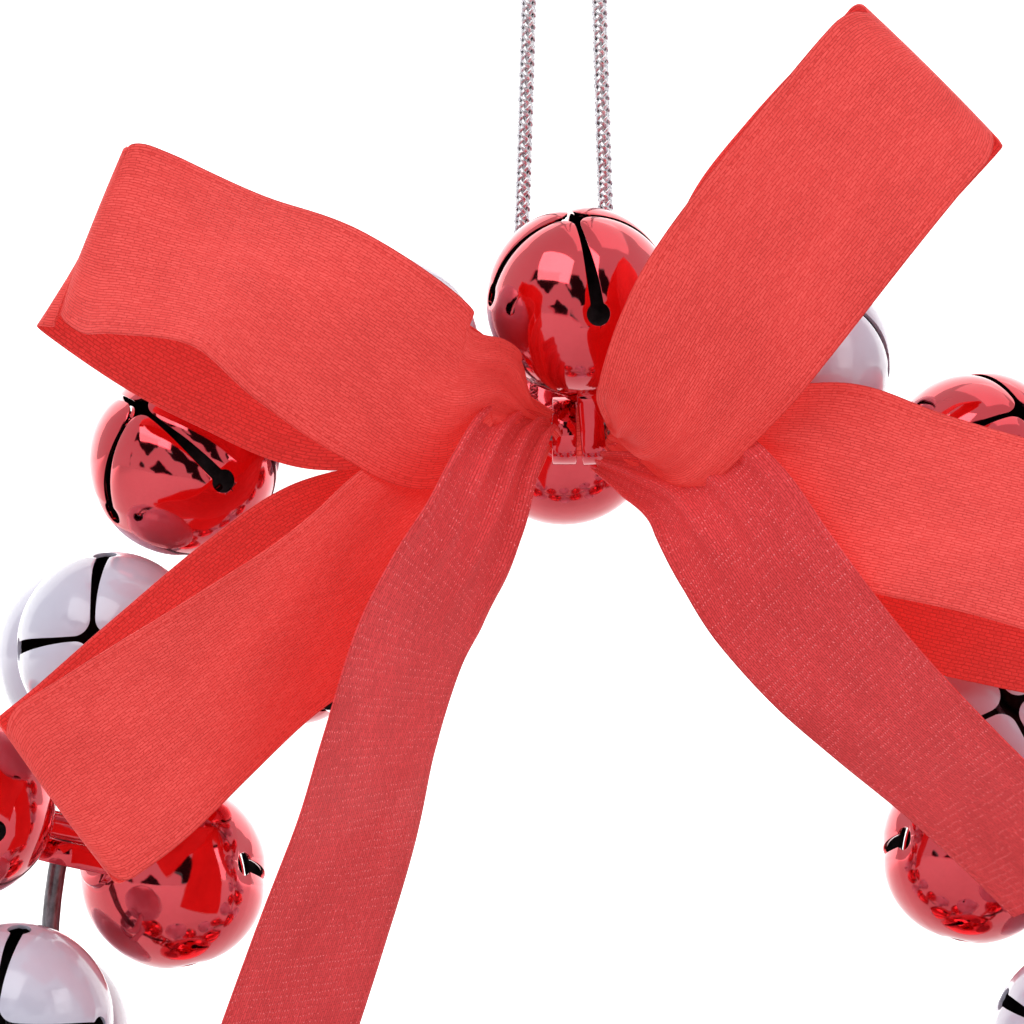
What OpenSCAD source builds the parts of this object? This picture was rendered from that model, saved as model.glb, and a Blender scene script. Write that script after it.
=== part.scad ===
// Jingle bell wreath: pairs of sheet-metal jingle bells threaded on a wire ring,
// a double ribbon bow at the top and a braided cord loop to hang it by.
// +Z is up, +X is to the right, and the front of the wreath faces -Y.
// The origin is where a hook bears in the top bend of the cord loop.

/* [Ring] */
// Radius of the wire ring, to the wire's centre line
ring_r = 65; // [64:0.5:72]
// Diameter of the ring's steel wire
wire_d = 2.2; // [1.6:0.1:2.4]
// Height of the hook above the ring's centre
hang_drop = 179; // [170:1:200]

/* [Bells] */
// Outside diameter of a bell
bell_d = 23.4; // [22:0.1:23.4]
// Thickness of a bell's sheet metal
wall = 0.5; // [0.4:0.1:0.8]
// Distance from the wire to a bell's centre
reach = 17.4; // [16.5:0.1:17.6]
// Width of the four slots that meet at a bell's tip
slot_w = 1.3; // [0.8:0.1:1.8]
// Diameter of the round hole that ends each slot
hole_d = 3; // [2:0.1:3.6]
// Diameter of the loose steel pellet in a bell
pellet_d = 5; // [4:0.5:5]

/* [Shanks] */
// Outside width of a bell's shank loop
shank_d = 8.4; // [7.6:0.1:8.6]
// Width of the shank's strip
shank_w = 3; // [2:0.1:3]
// Thickness of the shank's strip
shank_t = 0.6; // [0.4:0.1:0.8]

/* [Ribbon] */
// Full width of the ribbon, as a share of a 25 mm ribbon
ribbon_scale = 1; // [0.9:0.01:1]
// Thickness of the ribbon with its folds
ribbon_t = 0.5; // [0.3:0.1:0.6]

/* [Cord] */
// Diameter of the braided hanging cord
cord_d = 2; // [1.4:0.1:2]

/* [Hidden] */
$fn = 48;

// Pairs of bells: number 0 is at the top, positive numbers run down the left side.
PAIRS_A_SIDE = 8;
BOTTOM_PAIR = 9;
SIDE_PAIRS = [for (n = [1 : PAIRS_A_SIDE]) n];
// The bells sit closest beside the bow, and the wire's slack is shared out below.
TOP_PITCH = 18.6;
SLACK = (180 - TOP_PITCH * BOTTOM_PAIR) / (BOTTOM_PAIR * BOTTOM_PAIR);

bell_r = bell_d / 2;
pellet_r = pellet_d / 2;
wire_r = wire_d / 2;
cord_r = cord_d / 2;
shank_side = shank_w / 2 + 0.1;
ring_x = 1.6;
// How far the second left pair has slipped down the wire, in degrees.
second_left_slip = 1.5;
top_side_lean = 5;
top_side_gap = 0.2;
crown_r = 4.2;
crown_z = -sqrt(bell_r * bell_r - crown_r * crown_r);
neck_r = 3.4;
hole_angle = 76;
pellet_seat = bell_r - wall - pellet_r - 0.2;
RED = [0.78, 0.08, 0.12];
WHITE = [0.95, 0.94, 0.96];

// Angle of a pair round the ring, from the top towards the left.
function pair_angle(n) =
    sign(n) * (TOP_PITCH * abs(n) + SLACK * n * n) + (n == 2 ? second_left_slip : 0);

// Lean of a bell round the wire: 0 points outward, 90 to the front, 180 inward.
function is_white(n) = abs(n) % 2 == 1;
function front_lean(n) =
    n == 0 ? 24 :
    abs(n) == 1 ? 40 :
    is_white(n) ? (n > 0 ? 78 : 98) :
    42;
function rear_lean(n) =
    n == 0 ? 270 :
    abs(n) == 1 ? -55 :
    abs(n) == 2 ? 228 :
    abs(n) == 3 ? 290 :
    is_white(n) ? 280 :
    216;

// The top front bell also leans a little to the left as seen from the front.
function side_lean(n, place) = n == 0 && place == "front" ? top_side_lean : 0;
function side_offset(n, place) =
    place == "rear" ? -shank_side : n == 0 ? shank_side + top_side_gap : shank_side;

// Turn of a bell's slots about its own axis.
function front_turn(n) =
    n == 0 ? 10 :
    !is_white(n) ? 34 - 11 * n :
    n > 0 ? 105.5 - 23.5 * n : 103.5 + 6.5 * n;
function rear_turn(n) = 45 + 29 * n;

// Names by side and number.
function side_name(n) =
    n == 0 ? "top" :
    n == BOTTOM_PAIR ? "bottom" :
    n > 0 ? str("left_", n) :
    str("right_", -n);
function colour_name(n) = is_white(n) ? "white" : "red";
function bell_name(n, place) = str(colour_name(n), "_bell_", side_name(n), "_", place);
function pellet_name(n, place) = str("pellet_", side_name(n), "_", place);

PAIRS = concat([0], SIDE_PAIRS, [for (n = SIDE_PAIRS) -n], [BOTTOM_PAIR]);
// These bells' pellets are nodes of their own; the other bells hold theirs as a solid.
OWN_PELLETS = [0, 1, -1, 2, -2];
function has_own_pellet(n) = len(search(n, OWN_PELLETS)) > 0;

// ---- Places ----

module at_ring_centre() {
    translate([ring_x, 0, -hang_drop]) children();
}

module at_bell(n, place) {
    lean = place == "front" ? front_lean(n) : rear_lean(n);
    at_ring_centre()
        rotate([0, -pair_angle(n), 0])
            translate([side_offset(n, place), 0, ring_r])
                rotate([0, -side_lean(n, place), 0])
                    rotate([lean, 0, 0])
                        children();
}

// Direction, in the bell's own frame, that is straight down when the wreath hangs.
function turn_x(v, a) = [v[0], v[1] * cos(a) - v[2] * sin(a), v[1] * sin(a) + v[2] * cos(a)];
function turn_y(v, a) = [v[0] * cos(a) + v[2] * sin(a), v[1], -v[0] * sin(a) + v[2] * cos(a)];
function down_in_bell(n, place, lean) =
    turn_x(turn_y([0, 0, -1], pair_angle(n) + side_lean(n, place)), -lean);

// ---- Ring ----

module ring_wire() {
    color("dimgray")
        at_ring_centre()
            rotate([90, 0, 0])
                rotate_extrude($fn = 180)
                    translate([ring_r, 0])
                        circle(d = wire_d);
}

// ---- Bells: each is a slotted shell with its shank, drawn round the wire at the origin ----

module bell_shell(turn) {
    translate([0, 0, reach]) {
        difference() {
            union() {
                intersection() {
                    sphere(r = bell_r, $fn = 96);
                    translate([-bell_r, -bell_r, crown_z]) cube([bell_d, bell_d, bell_d]);
                }
                translate([0, 0, crown_z - 1.2]) cylinder(r = neck_r, h = 2.4);
            }
            sphere(r = bell_r - wall, $fn = 96);
            shank_slots();
            rotate([0, 0, turn]) tip_slots();
        }
    }
}

module tip_slots() {
    slot_end = bell_r * sin(hole_angle);
    slot_z = bell_r * cos(hole_angle);
    for (quarter = [0, 90]) {
        rotate([0, 0, quarter])
            translate([-slot_end, -slot_w / 2, slot_z])
                cube([2 * slot_end, slot_w, bell_r]);
    }
    for (quarter = [0 : 90 : 270]) {
        rotate([0, 0, quarter])
            rotate([0, hole_angle, 0])
                translate([0, 0, bell_r / 2])
                    cylinder(d = hole_d, h = bell_r);
    }
    translate([0, 0, bell_r / 2]) cylinder(d = 2 * slot_w, h = bell_r);
}

module shank_slots() {
    for (side = [-1, 1]) {
        translate([0, side * (shank_d - shank_t) / 2, -bell_r])
            cube([shank_w + 0.1, shank_t + 0.1, bell_r], center = true);
    }
}

module shank() {
    leg = reach + crown_z + 0.4;
    rotate([0, 90, 0]) {
        difference() {
            union() {
                cylinder(d = shank_d, h = shank_w, center = true);
                translate([-leg, -shank_d / 2, -shank_w / 2]) cube([leg, shank_d, shank_w]);
            }
            cylinder(d = shank_d - 2 * shank_t, h = 2 * shank_w, center = true);
            translate([-2 * leg, -shank_d / 2 + shank_t, -shank_w])
                cube([2 * leg, shank_d - 2 * shank_t, 2 * shank_w]);
        }
    }
}

module bell(n, place) {
    lean = place == "front" ? front_lean(n) : rear_lean(n);
    turn = place == "front" ? front_turn(n) : rear_turn(n);
    color(is_white(n) ? WHITE : RED)
        at_bell(n, place) {
            bell_shell(turn);
            shank();
            if (!has_own_pellet(n)) pellet_at_rest(n, place, lean);
        }
}

module pellet_at_rest(n, place, lean) {
    translate([0, 0, reach] + pellet_seat * down_in_bell(n, place, lean))
        sphere(r = pellet_r);
}

module pellet(n, place) {
    lean = place == "front" ? front_lean(n) : rear_lean(n);
    color("silver")
        at_bell(n, place)
            pellet_at_rest(n, place, lean);
}

// ---- Bow: strips of ribbon, each swept along stations out from the gather ----

// A station is [distance along the heading, offset to its left, distance to the front,
// width, roll of the width towards the front].
UPPER_LEFT = [158, [
    [3.9, 0.2, 4.3, 2.6, 0], [6, 0.6, 9, 4, 0], [7.5, 0.2, 12.6, 6, 0], [9.5, -0.4, 15.7, 10, 0],
    [11.3, -0.4, 18.2, 13.5, 0], [16, 3, 24, 22, 0], [24, 1.7, 29.5, 24.5, 0],
    [35, -0.5, 32.5, 25, 14], [46, -2, 33.5, 25, 36], [56.5, -1.1, 32, 25, 24], [62.5, 0, 29.5, 25, 5],
    [63.8, 0.3, 26.5, 25, 0], [62, 1.2, 23.5, 25, 0], [51, 3.8, 21.5, 25, 8], [41, 4.8, 21.5, 25, 12],
    [31.5, 5, 23.2, 24.5, 6], [25, 3, 24.8, 22, 0], [19, 1, 22.8, 17, 0], [14, -0.3, 17.8, 11.5, 0],
    [8.5, 0.3, 11.8, 5, 0], [5.5, 0.4, 7.3, 3.5, 0], [3.9, 0.2, 3.7, 2.6, 0]]];
LOWER_LEFT = [216, [
    [4, -1.2, 4.2, 2.2, 0], [9, -1.5, 10.5, 9, -10], [15, -2, 16, 16, -20], [25, -1.5, 23, 22, -30],
    [34, -0.5, 28, 24.5, -38], [45, -0.5, 32, 25, -40], [56, -0.2, 36, 25, -30],
    [68, 0, 39.5, 25, -12], [76, -0.4, 39.5, 25, 0], [77.4, -0.4, 37, 25, 0], [76, -0.6, 34.2, 25, 0],
    [70, -1, 32.5, 25, -4], [58, -2.3, 30.3, 25, -10], [45, -3.5, 24.5, 25, -16],
    [34, -4.3, 20.5, 23, -20], [22, -4, 14, 14, -25], [12, -2.5, 9, 8, -10], [4, -1.2, 3.6, 2.2, 0]]];
UPPER_RIGHT = [45, [
    [3.3, -2.4, 4.2, 2.2, 0], [3.2, -5.5, 12, 8, 0], [4.2, -7.2, 19, 16, 10], [8.5, -7, 25, 19.5, 18],
    [17, -4.9, 30, 23.5, 12], [26, -3, 33, 25, 5], [42, -1, 35, 25, 0], [54, 0.2, 33.5, 25, 0],
    [60, 0.4, 30.5, 25, 0], [60.6, 0.4, 27.5, 25, 0], [58.5, 0.2, 25, 25, 0], [54, 0, 23.8, 25, 0],
    [42, -0.5, 23.8, 25, 0], [31, -1.5, 25.5, 24, 0], [21, -2.5, 24.8, 17, 0],
    [16.5, -2.6, 21.8, 12, 5], [11, -3.6, 16.8, 9, 20], [6, -2.6, 8.5, 5, 10], [3.3, -2.4, 3.6, 2.2, 0]]];
LOWER_RIGHT = [-14, [
    [4, 0.6, 4.2, 3.5, 0], [8, 0.8, 10, 8, 10], [13, 1.2, 15, 13, 20], [20, 1.4, 20.8, 16.5, 20],
    [30, 1.3, 26.5, 24.5, -8], [40, 1, 31, 25, -24], [52, 1, 35.5, 25, -28], [65, 0.8, 37.8, 25, -20],
    [71, 0, 37, 25, -8], [72.5, -1, 34.8, 25, 0], [70, -3.5, 32.8, 25, 0], [64, -5, 31.5, 25, 0],
    [54, -5.6, 30, 25, 0], [42, -5.6, 26.3, 25, 0], [30, -5.5, 20.5, 20, 0], [25, -5.5, 17.5, 16, 0],
    [20, -5, 13.5, 12.5, 0], [11, -2, 8, 8, 5], [4, 0.6, 3.6, 3.5, 0]]];
TAIL_LEFT = [244.5, [
    [1.5, -2.9, 4.7, 3, 0], [1.4, -6, 11, 7, -20], [5.5, -7, 17, 11.5, -40], [12, -6.6, 22.5, 17, -52],
    [18, -6.4, 26, 21, -56], [25, -6.8, 28, 24, -57], [33, -6.9, 28.5, 25, -58],
    [45, -5.2, 27, 25, -58], [56, -3.2, 24, 25, -57], [70, -1.5, 19, 25, -55], [83, 0, 14, 25, -53]]];
TAIL_RIGHT = [-43, [
    [4.4, -0.4, 4.4, 4, 0], [9, 2.6, 12, 10, 8], [14, 5.2, 19, 16, 15], [22, 4, 25, 21, 28],
    [30, 2, 28, 24, 38], [40, 0.5, 29, 25, 45], [50, 0, 29, 25, 50], [62, 0, 28, 25, 54],
    [74, 0, 26, 25, 55], [82, 0, 24, 25, 55]]];

function in_heading(heading, along, left) =
    [along * cos(heading) - left * sin(heading), along * sin(heading) + left * cos(heading)];
function station_point(heading, s) =
    let (flat = in_heading(heading, s[0], s[1])) [flat[0], -s[2], flat[1]];
function station_across(heading, s) =
    let (flat = in_heading(heading, 0, cos(s[4]))) [flat[0], -sin(s[4]), flat[1]];
function unit(v) = v / norm(v);
function path_direction(points, i) =
    unit(points[min(i + 1, len(points) - 1)] - points[max(i - 1, 0)]);

module ribbon_strip(strip) {
    heading = strip[0];
    stations = strip[1];
    last = len(stations) - 1;
    points = [for (s = stations) station_point(heading, s)];
    corners = [
        for (i = [0 : last])
            let (
                across = station_across(heading, stations[i]) * stations[i][3] * ribbon_scale / 2,
                face = unit(cross(path_direction(points, i), across)) * ribbon_t / 2)
            for (corner = [across + face, across - face, -across - face, -across + face])
                points[i] + corner];
    // The two wide faces are split along the same diagonal, so a twisted strip keeps its thickness.
    sides = [
        for (i = [0 : last - 1])
            let (a = 4 * i, b = 4 * i + 4)
            for (triangle = [
                [a, a + 1, b], [a + 1, b + 1, b],
                [a + 1, a + 2, b + 2], [a + 1, b + 2, b + 1],
                [a + 2, a + 3, b + 2], [a + 3, b + 3, b + 2],
                [a + 3, a, b + 3], [a, b, b + 3]])
                triangle];
    ends = [[2, 1, 0], [3, 2, 0], 4 * last * [1, 1, 1] + [0, 1, 2], 4 * last * [1, 1, 1] + [0, 2, 3]];
    color("crimson")
        translate([ring_x, 0, ring_r - hang_drop])
            polyhedron(points = corners, faces = concat(sides, ends));
}

module bow_gather() {
    bundle_r = shank_d / 2 - shank_t - 0.2;
    color("crimson")
        translate([ring_x, 0, ring_r - hang_drop])
            rotate([0, 90, 0])
                intersection() {
                    cylinder(r = bundle_r, h = 6.2, center = true);
                    translate([-bundle_r, -bundle_r, -4]) cube([2 * bundle_r, bundle_r - wire_r - 0.1, 8]);
                }
}

// ---- Cord: hitched round the wire on both sides of the bow, and up to the hook ----

// The route of one strand, from the back of the wire up to the top bend.
STRAND = [
    [6, 2.1, -114], [6, 3.4, -110.5], [6, 5.8, -106], [5.8, 8.4, -101], [5.6, 8.8, -96],
    [5.2, 8.6, -88], [4.8, 8, -76], [4.4, 7, -62], [4, 5.2, -44], [3.6, 3, -26],
    [3.2, 0.8, -10], [3, 0.2, -4]];
STRAND_TOP = STRAND[len(STRAND) - 1];
BEND_STEP = 30;
BEND = [
    for (a = [BEND_STEP : BEND_STEP : 180 - BEND_STEP])
        [STRAND_TOP[0] * cos(a), 0, STRAND_TOP[2] + (cord_r - STRAND_TOP[2]) * sin(a)]];
ROUTE = concat(
    STRAND,
    BEND,
    [for (i = [len(STRAND) - 1 : -1 : 0]) [-STRAND[i][0], STRAND[i][1], STRAND[i][2]]]);
CORD_SIDES = 8;

module hanging_cord() {
    last = len(ROUTE) - 1;
    corners = [
        for (i = [0 : last])
            let (
                along = path_direction(ROUTE, i),
                out = unit(cross(along, [0, 1, 0])),
                side = cross(out, along))
            for (k = [0 : CORD_SIDES - 1])
                let (a = 360 * k / CORD_SIDES)
                ROUTE[i] + cord_r * (out * cos(a) + side * sin(a))];
    walls = [
        for (i = [0 : last - 1])
            for (k = [0 : CORD_SIDES - 1])
                let (next_k = (k + 1) % CORD_SIDES)
                for (triangle = [
                    [CORD_SIDES * i + k, CORD_SIDES * i + CORD_SIDES + k, CORD_SIDES * i + next_k],
                    [CORD_SIDES * i + next_k, CORD_SIDES * i + CORD_SIDES + k,
                     CORD_SIDES * i + CORD_SIDES + next_k]])
                    triangle];
    start = [for (k = [0 : CORD_SIDES - 1]) k];
    finish = [for (k = [CORD_SIDES - 1 : -1 : 0]) CORD_SIDES * last + k];
    color("silver")
        polyhedron(points = corners, faces = concat(walls, [start, finish]));
}

// Each hitch goes round the wire where the ring has already begun to curve down.
module cord_hitches() {
    hitch_gap = 0.05;
    color("silver")
        for (side = [-1, 1])
            at_ring_centre()
                rotate([0, asin((side * STRAND[0][0] - ring_x) / ring_r), 0])
                    translate([0, 0, ring_r])
                        rotate([0, 90, 0])
                            rotate_extrude()
                                translate([wire_r + hitch_gap + cord_r, 0])
                                    circle(d = cord_d);
}

// ---- The drawing itself ----

ring_wire();
hanging_cord();
cord_hitches();
bow_gather();
ribbon_strip(UPPER_LEFT);  // bow_loop_upper_left
ribbon_strip(LOWER_LEFT);  // bow_loop_lower_left
ribbon_strip(UPPER_RIGHT);  // bow_loop_upper_right
ribbon_strip(LOWER_RIGHT);  // bow_loop_lower_right
ribbon_strip(TAIL_LEFT);  // bow_tail_left
ribbon_strip(TAIL_RIGHT);  // bow_tail_right
for (n = PAIRS)
    for (place = ["front", "rear"])
        bell(n, place);
for (n = OWN_PELLETS)
    for (place = ["front", "rear"])
        pellet(n, place);
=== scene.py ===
"""Looks for the jingle bell wreath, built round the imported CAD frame.

It draws the bells, the ribbon bow, the braided cord, the studio and the camera.
"""

import math

import bmesh
import bpy
from mathutils import Matrix, Vector


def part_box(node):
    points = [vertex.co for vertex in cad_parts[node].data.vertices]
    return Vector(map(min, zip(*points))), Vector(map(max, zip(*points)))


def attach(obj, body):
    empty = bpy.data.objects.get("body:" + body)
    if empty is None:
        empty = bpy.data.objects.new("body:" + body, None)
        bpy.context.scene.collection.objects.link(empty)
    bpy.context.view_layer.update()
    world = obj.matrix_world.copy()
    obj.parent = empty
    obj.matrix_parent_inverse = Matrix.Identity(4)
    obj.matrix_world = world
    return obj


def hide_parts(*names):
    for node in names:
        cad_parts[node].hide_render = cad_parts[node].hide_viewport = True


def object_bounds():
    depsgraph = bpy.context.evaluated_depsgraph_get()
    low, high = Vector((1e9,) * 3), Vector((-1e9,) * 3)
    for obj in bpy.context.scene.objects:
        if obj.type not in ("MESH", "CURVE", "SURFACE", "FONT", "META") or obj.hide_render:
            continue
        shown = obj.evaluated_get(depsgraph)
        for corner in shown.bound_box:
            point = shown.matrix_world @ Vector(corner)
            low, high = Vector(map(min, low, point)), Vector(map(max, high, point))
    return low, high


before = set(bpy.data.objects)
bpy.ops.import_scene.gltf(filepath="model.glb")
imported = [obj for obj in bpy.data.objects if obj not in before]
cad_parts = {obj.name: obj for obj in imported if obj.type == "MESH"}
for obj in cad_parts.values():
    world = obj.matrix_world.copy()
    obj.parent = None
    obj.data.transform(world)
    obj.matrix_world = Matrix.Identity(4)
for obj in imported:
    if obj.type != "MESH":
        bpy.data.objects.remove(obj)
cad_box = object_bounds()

MM = 0.001

# ---- Sizes that come from the frame, in metres ----

ring_low, ring_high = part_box("ring_wire")
RING_CENTRE = (ring_low + ring_high) / 2
WIRE_R = (ring_high.y - ring_low.y) / 2
RING_R = (ring_high.x - ring_low.x) / 2 - WIRE_R
PELLET_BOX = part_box("pellet_top_front")
PELLET_R = (PELLET_BOX[1].x - PELLET_BOX[0].x) / 2
FLOOR_GAP = 12 * MM

# ---- The bells' layout, as in the CAD ----

TOP_PITCH = 18.6
BOTTOM_PAIR = 9
SLACK = (180 - TOP_PITCH * BOTTOM_PAIR) / BOTTOM_PAIR**2
PAIRS = [0, *range(1, BOTTOM_PAIR), *range(-1, -BOTTOM_PAIR, -1), BOTTOM_PAIR]
OWN_PELLETS = (0, 1, -1, 2, -2)
REACH = 17.4 * MM
BELL_R = 11.7 * MM
WALL = 0.5 * MM
SHANK_SIDE = 1.6 * MM
SECOND_LEFT_SLIP = 1.5
TOP_SIDE_LEAN = 5
TOP_SIDE_GAP = 0.2 * MM
SHANK_R = 3.9 * MM
SHANK_W = 3.0 * MM
SHANK_T = 0.6 * MM
CROWN_R = 4.2 * MM
NECK_R = 3.4 * MM
NECK_H = 1.2 * MM
PELLET_SEAT = BELL_R - WALL - PELLET_R - 0.2 * MM
# The bow hides the rear bells of these pairs. Their leans are a guess, picked to keep red from showing
# below the lower left loop, where the photo is white.
REAR_LEANS = {2: 228, 3: 290}


def is_white(n):
    return n % 2 == 1


def pair_angle(n):
    slip = SECOND_LEFT_SLIP if n == 2 else 0
    return math.copysign(TOP_PITCH * abs(n) + SLACK * n * n, n) + slip


def lean_of(n, place):
    """Lean of a bell round the wire: 0 points outward, 90 to the front, 180 inward."""
    if n == 0:
        return 24 if place == "front" else 270
    if abs(n) == 1:
        return 40 if place == "front" else -55
    if place == "rear":
        return REAR_LEANS.get(abs(n), 280 if is_white(n) else 216)
    if is_white(n):
        return 78 if n > 0 else 98
    return 42


def turn_of(n, place):
    """Turn of a bell's slots about its own axis."""
    if place == "rear":
        return 45 + 29 * n
    if n == 0:
        return 10
    if not is_white(n):
        return 34 - 11 * n
    return 105.5 - 23.5 * n if n > 0 else 103.5 + 6.5 * n


def side_name(n):
    if n == 0:
        return "top"
    if n == BOTTOM_PAIR:
        return "bottom"
    return f"left_{n}" if n > 0 else f"right_{-n}"


def bell_name(n, place):
    return f"{'white' if is_white(n) else 'red'}_bell_{side_name(n)}_{place}"


def bell_matrix(n, place):
    """Places a bell that is drawn round the wire at the origin, with its tip along +Z."""
    top_front = n == 0 and place == "front"
    side = SHANK_SIDE if place == "front" else -SHANK_SIDE
    if top_front:
        side += TOP_SIDE_GAP
    return (
        Matrix.Translation(RING_CENTRE)
        @ Matrix.Rotation(math.radians(-pair_angle(n)), 4, "Y")
        @ Matrix.Translation((side, 0, RING_R))
        @ Matrix.Rotation(math.radians(-TOP_SIDE_LEAN if top_front else 0), 4, "Y")
        @ Matrix.Rotation(math.radians(lean_of(n, place)), 4, "X")
    )


# ---- Small helpers ----


def smoothstep(low, high, x):
    t = min(max((x - low) / (high - low), 0.0), 1.0)
    return t * t * (3 - 2 * t)


def add_object(name, mesh, materials=()):
    piece = bpy.data.objects.new(name, mesh)
    bpy.context.collection.objects.link(piece)
    for material in materials:
        mesh.materials.append(material)
    return piece


def mesh_from(name, corners, faces, smooth=True):
    mesh = bpy.data.meshes.new(name)
    mesh.from_pydata([tuple(c) for c in corners], [], faces)
    mesh.update()
    if smooth:
        mesh.polygons.foreach_set("use_smooth", [True] * len(mesh.polygons))
    return mesh


def catmull_rom(points, steps):
    """A smooth run of points through the given ones, steps to each stretch."""
    run = []
    last = len(points) - 1
    for i in range(last):
        before = points[max(i - 1, 0)]
        start = points[i]
        end = points[i + 1]
        after = points[min(i + 2, last)]
        for k in range(steps):
            t = k / steps
            run.append(
                [
                    0.5
                    * (
                        2 * b
                        + (c - a) * t
                        + (2 * a - 5 * b + 4 * c - d) * t * t
                        + (3 * b - a - 3 * c + d) * t**3
                    )
                    for a, b, c, d in zip(before, start, end, after)
                ]
            )
    run.append(list(points[last]))
    return run


def directions(points):
    last = len(points) - 1
    return [(points[min(i + 1, last)] - points[max(i - 1, 0)]).normalized() for i in range(last + 1)]


# ---- Materials ----


def new_material(name, **inputs):
    """A node material with its Principled shader's own sockets set."""
    material = bpy.data.materials.new(name)
    material.use_nodes = True
    shader = material.node_tree.nodes["Principled BSDF"]
    for socket, value in inputs.items():
        shader.inputs[socket.replace("_", " ")].default_value = value
    return material, material.node_tree.nodes, material.node_tree.links, shader


def texture_space(nodes, links, scale, source="Object"):
    """Texture coordinates in metres, or in the ribbon's own millimetres with source UV."""
    coordinates = nodes.new("ShaderNodeTexCoord")
    mapping = nodes.new("ShaderNodeMapping")
    mapping.inputs["Scale"].default_value = scale
    links.new(coordinates.outputs[source], mapping.inputs["Vector"])
    return mapping.outputs["Vector"]


def noise(nodes, links, vector, detail=3.0, roughness=0.55):
    texture = nodes.new("ShaderNodeTexNoise")
    texture.inputs["Scale"].default_value = 1.0
    texture.inputs["Detail"].default_value = detail
    texture.inputs["Roughness"].default_value = roughness
    links.new(vector, texture.inputs["Vector"])
    return texture.outputs["Fac"]


def ramp(nodes, links, factor, low, high):
    """A colour that goes from low to high: each is (place, colour)."""
    blend = nodes.new("ShaderNodeValToRGB")
    for element, (place, colour) in zip(blend.color_ramp.elements, (low, high)):
        element.position = place
        element.color = (*colour, 1)
    links.new(factor, blend.inputs["Fac"])
    return blend.outputs["Color"]


def spread(nodes, links, factor, low, high):
    """A number that goes from low to high as factor goes from 0 to 1."""
    change = nodes.new("ShaderNodeMapRange")
    change.inputs["To Min"].default_value = low
    change.inputs["To Max"].default_value = high
    links.new(factor, change.inputs["Value"])
    return change.outputs["Result"]


def bump(nodes, links, shader, height, depth, before=None, strength=1.0):
    relief = nodes.new("ShaderNodeBump")
    relief.inputs["Distance"].default_value = depth
    relief.inputs["Strength"].default_value = strength
    links.new(height, relief.inputs["Height"])
    if before:
        links.new(before, relief.inputs["Normal"])
    links.new(relief.outputs["Normal"], shader.inputs["Normal"])
    return relief.outputs["Normal"]


def red_lacquer():
    material, nodes, links, shader = new_material(
        "red_mirror_lacquer",
        Metallic=1.0,
        Coat_Weight=1.0,
        Coat_Roughness=0.03,
        Coat_IOR=1.5,
    )
    patches = noise(nodes, links, texture_space(nodes, links, (90, 90, 90)), 4)
    links.new(
        ramp(nodes, links, patches, (0.3, (0.74, 0.045, 0.062)), (0.7, (0.84, 0.070, 0.090))),
        shader.inputs["Base Color"],
    )
    specks = noise(nodes, links, texture_space(nodes, links, (1500, 1500, 1500)), 2)
    links.new(spread(nodes, links, specks, 0.045, 0.11), shader.inputs["Roughness"])
    dents = noise(nodes, links, texture_space(nodes, links, (170, 170, 170)), 2)
    bump(nodes, links, shader, dents, 0.14 * MM)
    return material


def white_lacquer():
    material, nodes, links, shader = new_material(
        "white_gloss_lacquer",
        Coat_Weight=1.0,
        Coat_Roughness=0.04,
        Coat_IOR=1.5,
    )
    patches = noise(nodes, links, texture_space(nodes, links, (70, 70, 70)), 4)
    links.new(
        ramp(nodes, links, patches, (0.3, (0.62, 0.61, 0.74)), (0.7, (0.71, 0.70, 0.83))),
        shader.inputs["Base Color"],
    )
    specks = noise(nodes, links, texture_space(nodes, links, (1200, 1200, 1200)), 2)
    links.new(spread(nodes, links, specks, 0.14, 0.26), shader.inputs["Roughness"])
    dents = noise(nodes, links, texture_space(nodes, links, (170, 170, 170)), 2)
    bump(nodes, links, shader, dents, 0.10 * MM)
    return material


def bell_inside():
    material, nodes, links, shader = new_material("bell_inside_steel_painted_shade", Metallic=1.0)
    # The inside's near-black colours are painted shade for the hollow seen through the slots; the noise adds
    # random stains.
    stain = noise(nodes, links, texture_space(nodes, links, (400, 400, 400)), 5)
    links.new(
        ramp(nodes, links, stain, (0.35, (0.035, 0.028, 0.030)), (0.7, (0.13, 0.10, 0.11))),
        shader.inputs["Base Color"],
    )
    links.new(spread(nodes, links, stain, 0.35, 0.6), shader.inputs["Roughness"])
    bump(nodes, links, shader, stain, 0.05 * MM)
    return material


def steel(name, dark, light, rough_low, rough_high, scale, depth):
    material, nodes, links, shader = new_material(name, Metallic=1.0)
    streaks = noise(nodes, links, texture_space(nodes, links, scale), 5, 0.6)
    links.new(ramp(nodes, links, streaks, (0.3, dark), (0.7, light)), shader.inputs["Base Color"])
    links.new(spread(nodes, links, streaks, rough_low, rough_high), shader.inputs["Roughness"])
    bump(nodes, links, shader, streaks, depth)
    return material


def metallic_yarn():
    material, nodes, links, shader = new_material("silver_metallic_yarn", Metallic=1.0)
    glints = noise(nodes, links, texture_space(nodes, links, (2600, 2600, 1500)), 3, 0.7)
    links.new(
        ramp(nodes, links, glints, (0.36, (0.58, 0.57, 0.60)), (0.62, (1, 0.99, 1))),
        shader.inputs["Base Color"],
    )
    links.new(spread(nodes, links, glints, 0.16, 0.38), shader.inputs["Roughness"])
    bump(nodes, links, shader, glints, 0.10 * MM)
    return material


def calculate(nodes, links, operation, first, second):
    """A Math node: each input is a socket or a number."""
    sum_node = nodes.new("ShaderNodeMath")
    sum_node.operation = operation
    for socket, value in zip(sum_node.inputs, (first, second)):
        if isinstance(value, (int, float)):
            socket.default_value = value
        else:
            links.new(value, socket)
    return sum_node.outputs["Value"]


def blend_floats(nodes, links, share, first, second):
    mix = nodes.new("ShaderNodeMix")
    mix.data_type = "FLOAT"
    mix.inputs["Factor"].default_value = share
    links.new(first, mix.inputs[2])
    links.new(second, mix.inputs[3])
    return mix.outputs[0]


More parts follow.
